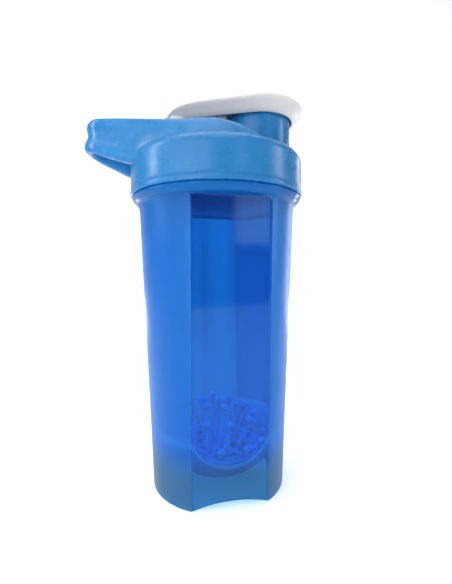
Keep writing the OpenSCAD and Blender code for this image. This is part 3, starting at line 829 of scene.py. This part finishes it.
def mixer():
    """Base ring, rings and spokes that carry the prongs, and the prongs, leaning in the bowl."""
    ring_z = BOWL_IN_C - math.sqrt((BOWL_IN_R - RING_T / 2 - 0.1) ** 2 - RING_R ** 2)
    shells = [hoop(RING_R, RING_T, RING_T, RING_T / 2 - 0.2)]
    shells += [hoop(r, GRID_W, GRID_H, GRID_ROUND) for _, r, _, _ in PRONG_RINGS if r]
    shells += [spoke(math.pi * k / 3) for k in range(3)]
    for count, root, lean, length in PRONG_RINGS:
        for i in range(count):
            shells.append(prong(root, math.radians(lean), 2 * math.pi * (i + 0.5) / count, length))
    verts, faces = joined(*shells)
    v = np.array(verts) + np.array([0, 0, ring_z - BOWL_IN_C])
    v = (v @ turning(MIXER_TURN).T) @ leaning(MIXER_LEAN).T + np.array([0, 0, BOWL_IN_C])
    build("mixer_insert", (v.tolist(), faces), "mixer", MIXER_BLUE, ["mixer"])


# ---------------------------------------------------------------- stage, light and camera


def stage():
    """A pale floor that curves up into the backdrop behind the bottle."""
    width, front, back, rise, bend = 3.0, -0.6, 1.1, 2.2, 0.5
    profile = [(front, 0.0), (0.0, 0.0), (back - bend, 0.0)]
    profile += [(back - bend + bend * math.sin(t), bend - bend * math.cos(t))
                for t in np.linspace(0, math.pi / 2, 16)[1:]]
    profile += [(back, rise)]
    verts = [(x, y, z) for y, z in profile for x in (-width / 2, width / 2)]
    faces = [(2 * i, 2 * i + 1, 2 * i + 3, 2 * i + 2) for i in range(len(profile) - 1)]
    mesh = bpy.data.meshes.new("studio_floor")
    mesh.from_pydata(verts, [], faces)
    mesh.shade_smooth()
    obj = bpy.data.objects.new("studio_floor", mesh)
    bpy.context.scene.collection.objects.link(obj)
    material, tree, shader = new_material("studio_paper")
    tree.links.new(ramp(tree, noise(tree, 3.0), 0.3, 0.7, (0.86, 0.86, 0.86), (0.88, 0.88, 0.88)),
                   shader.inputs["Base Color"])
    shader.inputs["Roughness"].default_value = 0.9
    shader.inputs["Specular IOR Level"].default_value = 0.1
    shader.inputs["Emission Color"].default_value = (1, 1, 1, 1)
    shader.inputs["Emission Strength"].default_value = 0.15
    obj.data.materials.append(material)


def area_light(name, place, target, size, power, hidden=False, spread=180):
    """A rectangular lamp that the camera doesn't see; hidden keeps it out of the see-through wall too."""
    data = bpy.data.lights.new(name, "AREA")
    data.spread = math.radians(spread)
    data.shape, data.size, data.size_y = "RECTANGLE", size[0], size[1]
    data.energy = power
    obj = bpy.data.objects.new(name, data)
    bpy.context.scene.collection.objects.link(obj)
    obj.location = place
    obj.rotation_euler = (Vector(target) - Vector(place)).to_track_quat("-Z", "Y").to_euler()
    obj.visible_camera = False
    obj.visible_transmission = not hidden


def lights():
    """Soft studio light: a pale world, large lamps round the bottle, lamps for the backdrop, the cap's
    underside and the cup's back, and a row of small ones overhead that mirror in the plastic."""
    world = bpy.data.worlds.new("studio_world")
    world.use_nodes = True
    world.node_tree.nodes["Background"].inputs["Color"].default_value = (0.94, 0.97, 1, 1)
    world.node_tree.nodes["Background"].inputs["Strength"].default_value = 0.30
    bpy.context.scene.world = world
    area_light("top", (-0.1, -0.25, 1.1), (0, 0, 0.1), (0.8, 0.5), 3.5)
    area_light("front", (-0.75, -1.10, 0.60), (0, 0, 0.12), (1.4, 0.7), 8)
    area_light("left", (-1.00, -0.09, 0.62), (0, 0, 0.12), (0.16, 0.7), 5)
    area_light("right", (0.98, -0.10, 0.35), (0, 0, 0.12), (0.2, 0.6), 3)
    area_light("strip", (0.62, 0.60, 0.22), (0, 0, 0.12), (0.07, 0.5), 1.2)
    area_light("panel", (0.60, -1.04, 0.52), (0, 0, 0.12), (0.21, 0.8), 0.9)
    area_light("fill", (-0.45, -0.85, 0.03), (-0.01, 0, 0.215), (0.3, 0.3), 0.12, spread=24)
    area_light("backdrop", (0.0, 0.25, 1.3), (0, 1.0, 0.3), (1.2, 0.4), 7)
    for side in (-1, 1):
        place = (side * 0.25, 0.45, 0.04)
        area_light(f"behind_{side}", place, (0, 0, 0.14), (0.25, 0.06), 0.2, hidden=True)
    for i, azimuth in enumerate((-100, -78, -58, -38, -18, 2, 24, 118)):
        a = math.radians(azimuth)
        place = (1.2 * math.sin(a), -1.2 * math.cos(a), 1.45)
        area_light(f"ceiling_{i}", place, (0, 0, 0.16), (0.22, 0.06), 0.8)


def camera():
    """The view fitted to the bottle's rims: close, near half its height, tipped slightly down."""
    data = bpy.data.cameras.new("view")
    data.sensor_width = 36.0
    data.lens = 22.75
    data.clip_start = 0.01
    obj = bpy.data.objects.new("view", data)
    bpy.context.scene.collection.objects.link(obj)
    obj.location = (0, -0.21564, 0.1179)
    pitch, yaw, roll = 0.0413, 0.0238, -0.0058
    forward = Vector((math.sin(yaw) * math.cos(pitch), math.cos(yaw) * math.cos(pitch),
                      -math.sin(pitch)))
    level = Vector((math.cos(yaw), -math.sin(yaw), 0))
    upright = level.cross(forward)
    right = math.cos(roll) * level + math.sin(roll) * upright
    up = -math.sin(roll) * level + math.cos(roll) * upright
    rotation = np.array([right, up, -forward]).T
    obj.rotation_euler = Matrix(rotation.tolist()).to_euler()
    bpy.context.scene.camera = obj


bpy.context.scene.view_settings.view_transform = "Standard"
cup()
lid_ring()
carry_loop()
spout()
hinge_ears()
flip_cap()
cap_plug()
cap_hinge()
mixer()
for name, material in (("lid_gasket", SEAL_WHITE), ("spout_seal", SEAL_WHITE), ("hinge_pin", PIN_STEEL)):
    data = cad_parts[name].data
    data.materials.clear()
    data.materials.append(material)
stage()
lights()
camera()
